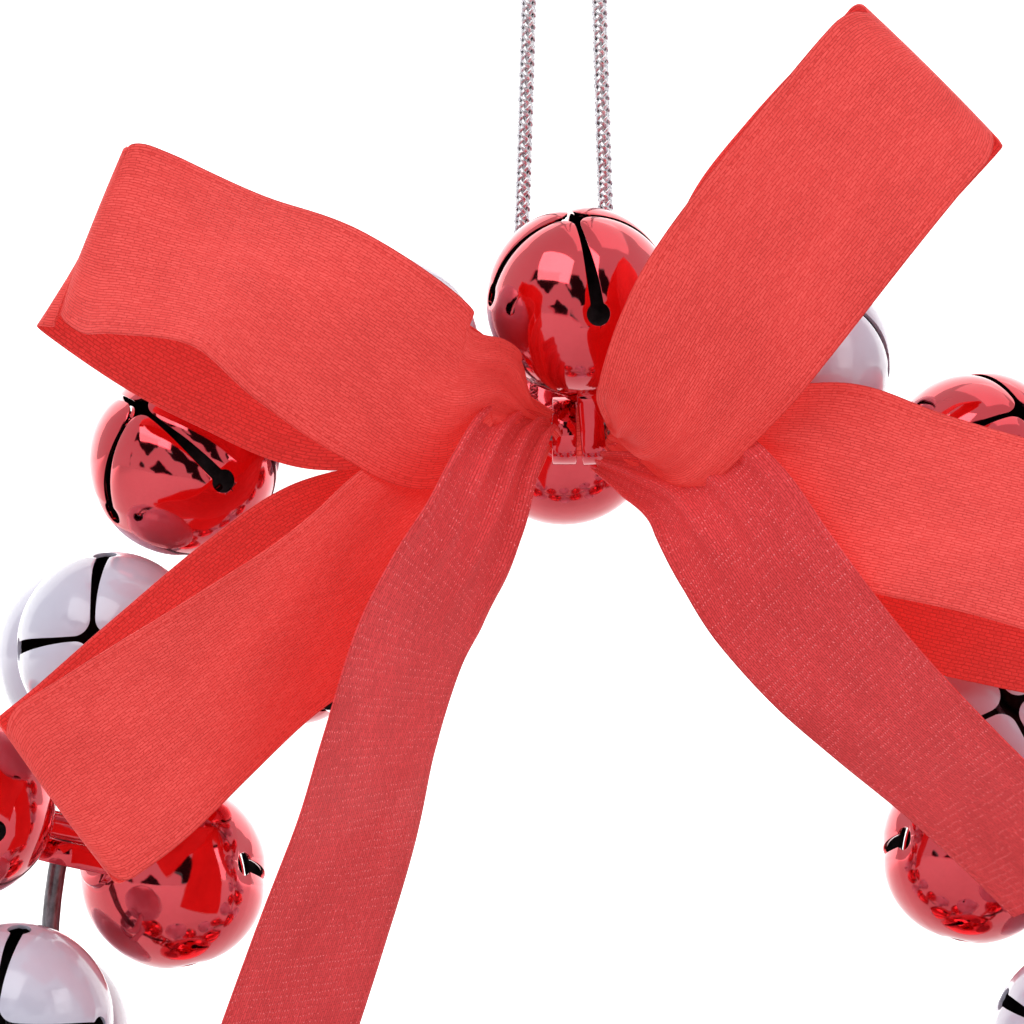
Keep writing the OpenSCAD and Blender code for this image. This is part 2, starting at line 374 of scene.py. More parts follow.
def blend_colours(nodes, links, kind, share, first, second):
    """Mixes two colours, each a socket or an RGB tuple; share may be a socket too."""
    mix = nodes.new("ShaderNodeMix")
    mix.data_type = "RGBA"
    mix.blend_type = kind
    if isinstance(share, (int, float)):
        mix.inputs["Factor"].default_value = share
    else:
        links.new(share, mix.inputs["Factor"])
    for socket, value in ((mix.inputs[6], first), (mix.inputs[7], second)):
        if isinstance(value, tuple):
            socket.default_value = (*value, 1)
        else:
            links.new(value, socket)
    return mix.outputs[2]


def wandering_place(nodes, links):
    """The ribbon's own coordinates with the yarns straying a little off their lines."""
    wander = noise(nodes, links, texture_space(nodes, links, (0.45, 1.1, 1), "UV"), 2)
    shift = nodes.new("ShaderNodeVectorMath")
    shift.operation = "MULTIPLY_ADD"
    shift.inputs[1].default_value = (0.9, 0.34, 0)
    links.new(wander, shift.inputs[0])
    links.new(texture_space(nodes, links, (1, 1, 1), "UV"), shift.inputs[2])
    return shift.outputs[0]


def floats(nodes, links, place, length, width):
    """Staggered lengthwise floats: their light crowns are painted sheen, their dark gaps painted shade."""
    weave = nodes.new("ShaderNodeTexBrick")
    weave.offset = 0.37
    weave.inputs["Scale"].default_value = 1.0
    weave.inputs["Brick Width"].default_value = length
    weave.inputs["Row Height"].default_value = width
    weave.inputs["Mortar Size"].default_value = width * 0.22
    weave.inputs["Mortar Smooth"].default_value = 1.0
    weave.inputs["Color1"].default_value = (0.55, 0.55, 0.55, 1)
    weave.inputs["Color2"].default_value = (1, 1, 1, 1)
    weave.inputs["Mortar"].default_value = (0, 0, 0, 1)
    links.new(place, weave.inputs["Vector"])
    return weave.outputs["Color"]


def pinholes(nodes, links, place):
    """Rows of light spots across the ribbon, in patches. They are colour, not real holes."""
    split = nodes.new("ShaderNodeSeparateXYZ")
    links.new(place, split.inputs["Vector"])
    along = calculate(nodes, links, "PINGPONG", split.outputs["X"], 0.52)
    across = calculate(nodes, links, "PINGPONG", split.outputs["Y"], 0.26)
    row = calculate(nodes, links, "LESS_THAN", along, 0.075)
    dot = calculate(nodes, links, "LESS_THAN", across, 0.10)
    patches = noise(nodes, links, texture_space(nodes, links, (0.35, 0.22, 1), "UV"), 3)
    chance = noise(nodes, links, texture_space(nodes, links, (1.9, 1.9, 1), "UV"), 0)
    open_patch = calculate(nodes, links, "GREATER_THAN", patches, 0.47)
    lucky = calculate(nodes, links, "GREATER_THAN", chance, 0.43)
    spots = calculate(nodes, links, "MULTIPLY", row, dot)
    chosen = calculate(nodes, links, "MULTIPLY", open_patch, lucky)
    return calculate(nodes, links, "MULTIPLY", spots, chosen)


def ribbon_material(name, dark, light, float_length, float_width, relief, roughness, holes, glow):
    """Woven ribbon with staggered floats along its length, and UV coordinates in millimetres.

    The glow is an even emission. It stands in for light that comes through the satin.
    """
    material, nodes, links, shader = new_material(
        name,
        Sheen_Weight=0.04,
        Sheen_Roughness=0.4,
        Sheen_Tint=(1.0, 0.62, 0.60, 1),
        Specular_IOR_Level=0.26,
        Anisotropic=0.7,
        Emission_Color=(1.0, 0.055, 0.045, 1),
        Emission_Strength=glow,
    )
    place = wandering_place(nodes, links)
    weave = floats(nodes, links, place, float_length, float_width)
    hairs = noise(nodes, links, texture_space(nodes, links, (0.7, 8.0, 1), "UV"), 3)
    height = blend_floats(nodes, links, 0.45, weave, hairs)
    tones = noise(nodes, links, texture_space(nodes, links, (0.06, 0.11, 1), "UV"), 3)
    # The colour follows the weave's height: lighter float crowns are a painted sheen, darker gaps painted
    # shade.
    base = ramp(nodes, links, height, (0.08, dark), (0.80, light))
    slow = ramp(nodes, links, tones, (0.3, (0.80, 0.74, 0.74)), (0.7, (1, 1, 1)))
    colour = blend_colours(nodes, links, "MULTIPLY", 1.0, base, slow)
    split = nodes.new("ShaderNodeSeparateXYZ")
    links.new(place, split.inputs["Vector"])
    from_middle = calculate(nodes, links, "ABSOLUTE", split.outputs["Y"], 0)
    off_line = calculate(nodes, links, "SUBTRACT", from_middle, SELVEDGE)
    off_line = calculate(nodes, links, "ABSOLUTE", off_line, 0)
    on_line = calculate(nodes, links, "LESS_THAN", off_line, STITCH_HALF_WIDTH)
    beat = calculate(nodes, links, "PINGPONG", split.outputs["X"], 0.6)
    stitch = calculate(nodes, links, "GREATER_THAN", beat, 0.22)
    stitched = calculate(nodes, links, "MULTIPLY", on_line, stitch)
    stitched = calculate(nodes, links, "MULTIPLY", stitched, STITCH_SHARE)
    colour = blend_colours(nodes, links, "MIX", stitched, colour, dark)
    if holes:
        spots = pinholes(nodes, links, place)
        colour = blend_colours(nodes, links, "MIX", spots, colour, PINHOLE_COLOUR)
    links.new(colour, shader.inputs["Base Color"])
    links.new(spread(nodes, links, height, roughness + 0.12, roughness), shader.inputs["Roughness"])
    bump(nodes, links, shader, height, relief)
    return material


# The stitch line beside the ribbon's edges: its distance from the middle and its half width, in
# millimetres, and how much of the dark colour it takes.
SELVEDGE = 11.4
STITCH_HALF_WIDTH = 0.2
STITCH_SHARE = 0.4
PINHOLE_COLOUR = (1.0, 0.27, 0.29)
RED_LACQUER = red_lacquer()
WHITE_LACQUER = white_lacquer()
BELL_INSIDE = bell_inside()
PELLET_STEEL = steel(
    "pellet_steel", (0.45, 0.45, 0.46), (0.62, 0.62, 0.64), 0.12, 0.3, (700, 700, 700), 0.02 * MM
)
WIRE_STEEL = steel(
    "dark_wire_steel", (0.10, 0.095, 0.10), (0.34, 0.32, 0.34), 0.22, 0.45, (500, 2500, 500), 0.04 * MM
)
YARN = metallic_yarn()
SATIN_FACE = ribbon_material(
    "satin_face", (0.48, 0.016, 0.014), (1.0, 0.120, 0.108), 1.3, 0.36, 0.14 * MM, 0.42, False, 0.26
)
SATIN_BACK = ribbon_material(
    "satin_back", (0.40, 0.012, 0.012), (0.90, 0.072, 0.068), 0.90, 0.44, 0.12 * MM, 0.6, False, 0.26
)
# The tails' satin has rows of pinholes. Its darker colours and weaker glow than the loops' satin are painted
# shade.
TAIL_FACE_PAINTED_SHADE = ribbon_material(
    "tail_face_painted_shade", (0.46, 0.018, 0.022), (0.94, 0.090, 0.102), 1.04, 0.38, 0.12 * MM, 0.50, True, 0.15
)

# ---- Camera and studio ----

VIEW_WIDTH = 124.9 * MM
VIEW_DEPTH = 15 * MM
CAMERA_AWAY = 1.6
VIEW_MIDDLE = RING_CENTRE + Vector((-8.05 * MM, 0, 55.0 * MM))
TENT = (0.86, 0.84, 0.87)
DARK = (0.02, 0.015, 0.02)
# The tent's opening, as parts of a unit direction: how far round to the sides, its middle and half its
# height.
OPENING_SIDE = 0.30
OPENING_HEIGHT = 0.12
OPENING_HALF = 0.42
# Scale of the noise that draws dark shapes in the opening, for the lacquer to reflect. It copies no room.
CLUTTER = 2.6
WORLD_STRENGTH = 0.78
FLOOR_HALF_WIDTH = 6.0
FLOOR_FRONT = -0.55
FLOOR_CURVE_R = 0.4
FLOOR_CURVE_STEPS = 12
WALL_Y = 4.0
WALL_HEIGHT = 6.0


def add_camera():
    data = bpy.data.cameras.new("photo_camera")
    data.sensor_width = 36
    data.lens = data.sensor_width * (CAMERA_AWAY - VIEW_DEPTH) / VIEW_WIDTH
    data.clip_end = 20
    camera = bpy.data.objects.new("photo_camera", data)
    camera.location = VIEW_MIDDLE + Vector((0, -CAMERA_AWAY, 0))
    camera.rotation_euler = (math.pi / 2, 0, 0)
    bpy.context.collection.objects.link(camera)
    bpy.context.scene.camera = camera


def add_area_light(name, place, size, power):
    data = bpy.data.lights.new(name, "AREA")
    data.shape = "RECTANGLE"
    data.size, data.size_y = size
    data.energy = power
    lamp = bpy.data.objects.new(name, data)
    lamp.location = RING_CENTRE + Vector(place)
    lamp.rotation_euler = (-Vector(place)).to_track_quat("-Z", "Y").to_euler()
    bpy.context.collection.objects.link(lamp)


def add_floor():
    """A plain pale floor that curves up into a bright backdrop behind the wreath."""
    floor_z = cad_box[0][2] - FLOOR_GAP
    profile = [(FLOOR_FRONT, floor_z)]
    for step in range(FLOOR_CURVE_STEPS + 1):
        a = math.radians(90 * step / FLOOR_CURVE_STEPS)
        y = WALL_Y - FLOOR_CURVE_R + FLOOR_CURVE_R * math.sin(a)
        profile.append((y, floor_z + FLOOR_CURVE_R * (1 - math.cos(a))))
    profile.append((WALL_Y, floor_z + WALL_HEIGHT))
    corners = [(x, y, z) for y, z in profile for x in (-FLOOR_HALF_WIDTH, FLOOR_HALF_WIDTH)]
    faces = [(2 * i, 2 * i + 1, 2 * i + 3, 2 * i + 2) for i in range(len(profile) - 1)]
    material, nodes, links, shader = new_material("plain_pale_floor", Roughness=0.9)
    grain = noise(nodes, links, texture_space(nodes, links, (40, 40, 40)), 2)
    links.new(
        ramp(nodes, links, grain, (0.3, (0.62, 0.62, 0.62)), (0.7, (0.66, 0.66, 0.66))),
        shader.inputs["Base Color"],
    )
    split = nodes.new("ShaderNodeSeparateXYZ")
    links.new(texture_space(nodes, links, (1, 1, 1)), split.inputs["Vector"])
    glow = ramp(nodes, links, split.outputs["Y"], (0.05, (0.10, 0.10, 0.10)), (0.9, (1, 1, 1)))
    links.new(glow, shader.inputs["Emission Color"])
    shader.inputs["Emission Strength"].default_value = 1.0
    add_object("plain_floor", mesh_from("plain_floor", corners, faces), [material])


def add_world():
    """Pale all round like a light tent, with an opening in front that holds ragged dark shapes."""
    world = bpy.data.worlds.new("studio")
    world.use_nodes = True
    nodes, links = world.node_tree.nodes, world.node_tree.links
    sky = nodes["Background"]
    coordinates = nodes.new("ShaderNodeTexCoord")
    split = nodes.new("ShaderNodeSeparateXYZ")
    links.new(coordinates.outputs["Generated"], split.inputs["Vector"])
    frontward = calculate(nodes, links, "MULTIPLY", split.outputs["Y"], -1)
    from_level = calculate(nodes, links, "SUBTRACT", split.outputs["Z"], OPENING_HEIGHT)
    from_level = calculate(nodes, links, "ABSOLUTE", from_level, 0)
    sideways = ramp(nodes, links, frontward, (OPENING_SIDE, TENT), (OPENING_SIDE + 0.03, DARK))
    upward = ramp(nodes, links, from_level, (OPENING_HALF, DARK), (OPENING_HALF + 0.03, TENT))
    opening = blend_colours(nodes, links, "LIGHTEN", 1.0, sideways, upward)
    clutter_space = texture_space(nodes, links, (CLUTTER, CLUTTER, CLUTTER), "Generated")
    clutter = noise(nodes, links, clutter_space, 1)
    ragged = ramp(nodes, links, clutter, (0.50, TENT), (0.515, DARK))
    links.new(blend_colours(nodes, links, "LIGHTEN", 1.0, opening, ragged), sky.inputs["Color"])
    sky.inputs["Strength"].default_value = WORLD_STRENGTH
    bpy.context.scene.world = world


bpy.context.scene.view_settings.view_transform = "Standard"
add_camera()
add_world()
add_floor()
add_area_light("key_softbox", (-0.45, -0.70, 0.80), (1.0, 0.7), 4.2)
add_area_light("fill_softbox", (0.90, -0.55, 0.25), (0.45, 0.7), 1.6)
add_area_light("top_softbox", (0.25, 0.15, 0.9), (0.9, 0.6), 0.8)

# ---- Hanging cord: eight flat metallic yarns braided round a core ----

CORD_R = 1.0 * MM
# The route of one strand, in millimetres, from the back of the wire up to the top bend, as in the CAD.
STRAND = [
    (6, 2.1, -114), (6, 3.4, -110.5), (6, 5.8, -106), (5.8, 8.4, -101), (5.6, 8.8, -96), (5.2, 8.6, -88),
    (4.8, 8, -76), (4.4, 7, -62), (4, 5.2, -44), (3.6, 3, -26), (3.2, 0.8, -10), (3, 0.2, -4),
]
BEND_STEP = 30
CORD_STEPS = 12
YARN_PAIRS = 4
BRAID_PITCH = 6.0 * MM
YARN_RADIUS = 0.74 * MM
YARN_WAVE = 0.12 * MM
YARN_HALF_WIDTH = 0.40 * MM
YARN_HALF_THICK = 0.17 * MM
YARN_SIDES = 6
YARN_STEP = 0.2 * MM
CORE_R = 0.5 * MM
HITCH_GAP = 0.05 * MM


def cord_route():
    x_top, _, z_top = STRAND[-1]
    rise = CORD_R / MM - z_top
    bend = [
        (x_top * math.cos(a), 0, z_top + rise * math.sin(a))
        for a in (math.radians(step) for step in range(BEND_STEP, 180, BEND_STEP))
    ]
    mirrored = [(-x, y, z) for x, y, z in reversed(STRAND)]
    return [Vector(p) * MM for p in catmull_rom([*STRAND, *bend, *mirrored], CORD_STEPS)]


def even_steps(points, step):
    """Points an even distance apart along a line of points."""
    total = sum((b - a).length for a, b in zip(points, points[1:]))
    count = max(2, round(total / step))
    gap = total / count
    even = [points[0]]
    carried = 0.0
    for a, b in zip(points, points[1:]):
        stretch = (b - a).length
        while carried + stretch >= gap and len(even) < count:
            a = a.lerp(b, (gap - carried) / stretch)
            even.append(a)
            stretch = (b - a).length
            carried = 0.0
        carried += stretch
    return [*even, points[-1]]


def carried_frames(points):
    """At each point, two directions across the line that don't spin round it."""
    runs = directions(points)
    out = runs[0].orthogonal().normalized()
    frames = []
    for run in runs:
        out = (out - out.dot(run) * run).normalized()
        frames.append((out, run.cross(out)))
    return frames


def sweep(rings, closed=False):
    """Faces that join rings of equal length into a tube."""
    sides = len(rings[0])
    corners = [c for ring in rings for c in ring]
    faces = []
    last = len(rings) if closed else len(rings) - 1
    for i in range(last):
        j = (i + 1) % len(rings)
        for k in range(sides):
            m = (k + 1) % sides
            faces.append((i * sides + k, i * sides + m, j * sides + m, j * sides + k))
    if not closed:
        faces.append(tuple(reversed(range(sides))))
        faces.append(tuple((len(rings) - 1) * sides + k for k in range(sides)))
    return corners, faces


def braid(points, closed=False):
    """Corners and faces of the eight yarns over a line of even points."""
    frames = carried_frames(points)
    step = (points[1] - points[0]).length
    turn = 2 * math.pi * step / BRAID_PITCH
    corners = []
    faces = []
    for way in (1, -1):
        for yarn in range(YARN_PAIRS):
            rings = []
            for i, (point, (out, side)) in enumerate(zip(points, frames)):
                a = way * turn * i + 2 * math.pi * yarn / YARN_PAIRS
                radial = out * math.cos(a) + side * math.sin(a)
                around = side * math.cos(a) - out * math.sin(a)
                middle = point + radial * (YARN_RADIUS + way * YARN_WAVE * math.cos(4 * turn * i))
                rings.append(
                    [
                        middle
                        + around * YARN_HALF_WIDTH * math.cos(b)
                        + radial * YARN_HALF_THICK * math.sin(b)
                        for b in (2 * math.pi * k / YARN_SIDES for k in range(YARN_SIDES))
                    ]
                )
            new_corners, new_faces = sweep(rings, closed)
            offset = len(corners)
            corners += new_corners
            faces += [tuple(c + offset for c in face) for face in new_faces]
    return corners, faces


def tube(points, radius, sides=10, closed=False):
    frames = carried_frames(points)
    rings = [
        [
            point + radius * (out * math.cos(a) + side * math.sin(a))
            for a in (2 * math.pi * k / sides for k in range(sides))
        ]
        for point, (out, side) in zip(points, frames)
    ]
    return sweep(rings, closed)


def hitch_circle(x):
    """One turn of cord round the wire, where the wire passes x, as a ring of points."""
    angle = math.asin((x - RING_CENTRE.x) / RING_R)
    outward = Vector((math.sin(angle), 0, math.cos(angle)))
    middle = RING_CENTRE + RING_R * outward
    radius = WIRE_R + HITCH_GAP + CORD_R
    count = round(2 * math.pi * radius / YARN_STEP)
    return [
        middle + radius * (Vector((0, math.cos(a), 0)) + outward * math.sin(a))
        for a in (2 * math.pi * k / count for k in range(count))
    ]


def make_cord():
    route = even_steps(cord_route(), YARN_STEP)
    core = add_object("cord_core", mesh_from("cord_core", *tube(route[::4], CORE_R)), [YARN])
    cord = add_object("hanging_cord_braid", mesh_from("hanging_cord_braid", *braid(route)), [YARN])
    hitch_corners = []
    hitch_faces = []
    for x in (-STRAND[0][0] * MM, STRAND[0][0] * MM):
        ring = hitch_circle(x)
        for corners, faces in (braid(ring[:-1]), tube(ring[:-1], CORE_R)):
            offset = len(hitch_corners)
            hitch_corners += corners
            hitch_faces += [tuple(c + offset for c in face) for face in faces]
    hitch_mesh = mesh_from("cord_hitch_turns", hitch_corners, hitch_faces)
    hitches = add_object("cord_hitch_turns", hitch_mesh, [YARN])
    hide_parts("hanging_cord")
    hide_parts("cord_hitches")
    for piece in (core, cord, hitches):
        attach(piece, "wreath")


make_cord()

# ---- Bells ----

HOLE_ANGLE = math.radians(76)
HOLE_R = 1.5 * MM
SLOT_HALF_NARROW = 0.34 * MM
SLOT_HALF_WIDE = 0.82 * MM
TIP_ROUND = 2.1 * MM
PETAL_DIP = 0.40 * MM
PETAL_DIP_REACH = 1.5 * MM
PETAL_COLUMNS = 22
QUARTER = math.pi / 4


def slot_half_width(polar):
    """Half the gap between two petals at a polar angle from the tip: narrow, then wider towards the hole."""
    along = BELL_R * (polar - HOLE_ANGLE)
    gap = SLOT_HALF_NARROW + (SLOT_HALF_WIDE - SLOT_HALF_NARROW) * smoothstep(0.25, 1.15, polar)
    if along > 0:
        gap = 0.0
    if abs(along) < HOLE_R:
        gap = max(gap, math.sqrt(HOLE_R**2 - along**2))
    return gap


def petal_half_angle(polar):
    """Half the angle round the axis that a petal covers, with its tip rounded."""
    away = BELL_R * math.sin(polar)
    gap = slot_half_width(polar)
    middle = math.sqrt(2) * (gap + TIP_ROUND)
    straight_from = math.hypot(gap + TIP_ROUND, gap)
    if away < straight_from:
        cosine = (away**2 + middle**2 - TIP_ROUND**2) / (2 * away * middle)
        return math.acos(min(1.0, cosine))
    return QUARTER - math.asin(min(gap / away, 1.0))


def petal_rows():
    """Polar angles from the petals' tips down to the crown, closer together at the tip and the hole."""
    tip = math.asin((math.sqrt(2) * (SLOT_HALF_NARROW + TIP_ROUND) - TIP_ROUND) / BELL_R)
    hole = HOLE_R / BELL_R
    crown = math.pi - math.asin(CROWN_R / BELL_R)
    rows = [tip + 0.17 * (k / 9) ** 2 for k in range(10)]
    start = rows[-1]
    rows += [start + (HOLE_ANGLE - hole - start) * k / 12 for k in range(1, 12)]
    rows += [HOLE_ANGLE - hole * math.cos(math.pi * k / 10) for k in range(11)]
    start = rows[-1]
    rows += [start + (crown - start) * k / 16 for k in range(1, 17)]
    return rows


def shell_mesh():
    """A quarter-turn petal with its share of the body and crown, four times round."""
    corners = []
    faces = []
    rows = petal_rows()
    across = [2 * k / PETAL_COLUMNS - 1 for k in range(PETAL_COLUMNS + 1)]
    across = [math.sin(s * math.pi / 2) for s in across]
    hole_end = HOLE_ANGLE + HOLE_R / BELL_R
    for petal in range(4):
        centre = QUARTER + petal * math.pi / 2
        first = len(corners)
        for polar in rows:
            half = petal_half_angle(polar)
            for s in across:
                azimuth = centre + s * half
                edge = BELL_R * math.sin(polar) * half * (1 - abs(s))
                fade = 1 - smoothstep(HOLE_ANGLE - 0.2, hole_end + 0.25, polar)
                tip_edge = BELL_R * (polar - rows[0]) if polar < 0.6 else 1.0
                dip = PETAL_DIP * fade * math.exp(-min(edge, tip_edge) / PETAL_DIP_REACH)
                radius = BELL_R - dip
                corners.append(
                    Vector(
                        (
                            radius * math.sin(polar) * math.cos(azimuth),
                            radius * math.sin(polar) * math.sin(azimuth),
                            radius * math.cos(polar),
                        )
                    )
                )
        width = len(across)
        for i in range(len(rows) - 1):
            for k in range(width - 1):
                a = first + i * width + k
                faces.append((a, a + width, a + width + 1, a + 1))
    crown_z = -math.sqrt(BELL_R**2 - CROWN_R**2)
    profile = [
        (CROWN_R - 0.25 * MM, crown_z - 0.12 * MM),
        (NECK_R + 0.2 * MM, crown_z - 0.16 * MM),
        (NECK_R, crown_z - 0.4 * MM),
        (NECK_R, crown_z - NECK_H + 0.25 * MM),
        (NECK_R - 0.25 * MM, crown_z - NECK_H),
        (0.4 * MM, crown_z - NECK_H),
    ]
    for petal in range(4):
        centre = QUARTER + petal * math.pi / 2
        first = len(corners)
        for r, z in [(CROWN_R, crown_z), *profile]:
            for s in across:
                a = centre + s * QUARTER
                corners.append(Vector((r * math.cos(a), r * math.sin(a), z)))
        width = len(across)
        for i in range(len(profile)):
            for k in range(width - 1):
                a = first + i * width + k
                faces.append((a, a + width, a + width + 1, a + 1))
    mesh = mesh_from("bell_shell", corners, faces)
    work = bmesh.new()
    work.from_mesh(mesh)
    bmesh.ops.remove_doubles(work, verts=work.verts, dist=0.004 * MM)
    bmesh.ops.recalc_face_normals(work, faces=work.faces)
    work.to_mesh(mesh)
    work.free()
    return mesh


def shank_mesh():
    """The strip loop round the wire with its two legs up into the crown."""
    leg_top = REACH - BELL_R + 1.6 * MM
    line = [Vector((0, SHANK_R, leg_top * (1 - k / 4))) for k in range(4)]
    line += [
        Vector((0, SHANK_R * math.cos(a), -SHANK_R * math.sin(a)))
        for a in (math.radians(180 * k / 24) for k in range(25))
    ]
    line += [Vector((0, -SHANK_R, leg_top * k / 4)) for k in range(1, 5)]
    half_w = SHANK_W / 2
    half_t = SHANK_T / 2
    soft = 0.14 * MM
    section = [
        (half_w, half_t - soft), (half_w - soft, half_t), (0, half_t + 0.03 * MM), (soft - half_w, half_t),
        (-half_w, half_t - soft), (-half_w, soft - half_t), (soft - half_w, -half_t),
        (half_w - soft, -half_t), (half_w, soft - half_t),
    ]
    rings = []
    for point, run in zip(line, directions(line)):
        out = run.cross(Vector((1, 0, 0))).normalized()
        rings.append([point + Vector((x, 0, 0)) + out * t for x, t in section])
    corners, faces = sweep(rings)
    mesh = mesh_from("bell_shank", corners, faces)
    work = bmesh.new()
    work.from_mesh(mesh)
    bmesh.ops.recalc_face_normals(work, faces=work.faces)
    work.to_mesh(mesh)
    work.free()
    return mesh


def make_bell(n, place, shell, shank):
    node = bell_name(n, place)
    lacquer = WHITE_LACQUER if is_white(n) else RED_LACQUER
    at = bell_matrix(n, place)
    body = "wreath" if n == 0 else f"{node}_body"
    turn = Matrix.Rotation(math.radians(turn_of(n, place)), 4, "Z")
    turned = Matrix.Translation((0, 0, REACH)) @ turn
    shell_piece = add_object(f"{node}_shell", shell.copy(), [lacquer, BELL_INSIDE])
    shell_piece.data.transform(at @ turned)
    wall = shell_piece.modifiers.new("sheet_metal", "SOLIDIFY")
    wall.thickness = WALL
    wall.offset = -1
    wall.material_offset = 1
    wall.material_offset_rim = 0
    rim = shell_piece.modifiers.new("soft_rims", "BEVEL")
    rim.width = 0.09 * MM
    rim.segments = 2
    rim.limit_method = "ANGLE"
    rim.angle_limit = math.radians(50)
    shank_piece = add_object(f"{node}_shank", shank.copy(), [lacquer])
    shank_piece.data.transform(at)
    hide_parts(node)
    for piece in (shell_piece, shank_piece):
        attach(piece, body)
    if n not in OWN_PELLETS:
        make_pellet(n, place, at @ Vector((0, 0, REACH)), body)


def make_pellet(n, place, bell_middle, body):
    mesh = bpy.data.meshes.new("pellet")
    work = bmesh.new()
    seat = Matrix.Translation(bell_middle - Vector((0, 0, PELLET_SEAT)))
    bmesh.ops.create_uvsphere(work, u_segments=20, v_segments=12, radius=PELLET_R, matrix=seat)
    work.to_mesh(mesh)
    work.free()
    mesh.polygons.foreach_set("use_smooth", [True] * len(mesh.polygons))
    piece = add_object(f"pellet_{side_name(n)}_{place}_ball", mesh, [PELLET_STEEL])
    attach(piece, body)


def make_bells():
    shell = shell_mesh()
    shank = shank_mesh()
    for n in PAIRS:
        for place in ("front", "rear"):
            make_bell(n, place, shell, shank)


def finish_cad_node(node, material):
    """A CAD node whose shape is right keeps it, with a better material and smooth shading."""
    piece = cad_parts[node]
    piece.data.materials.clear()
    piece.data.materials.append(material)
    piece.data.polygons.foreach_set("use_smooth", [True] * len(piece.data.polygons))


make_bells()
finish_cad_node("ring_wire", WIRE_STEEL)
for number in OWN_PELLETS:
    for which in ("front", "rear"):
        finish_cad_node(f"pellet_{side_name(number)}_{which}", PELLET_STEEL)

# ---- Ribbon bow ----

RIBBON_W = 25.0
RIBBON_T = 0.22 * MM
ROWS_A_STATION = 14
RIBBON_COLUMNS = 48
LOOP_PLEATS = 0.07
TAIL_PLEATS = 0.13
FOLD_ROUND = 2.2 * MM
GATHER_STEPS = 24
GATHER_SIDES = 60
GATHER_PLEATS = 11
GATHER_PLEAT_DEPTH = 0.10
GATHER = Vector((RING_CENTRE.x, 0, RING_CENTRE.z + RING_R))
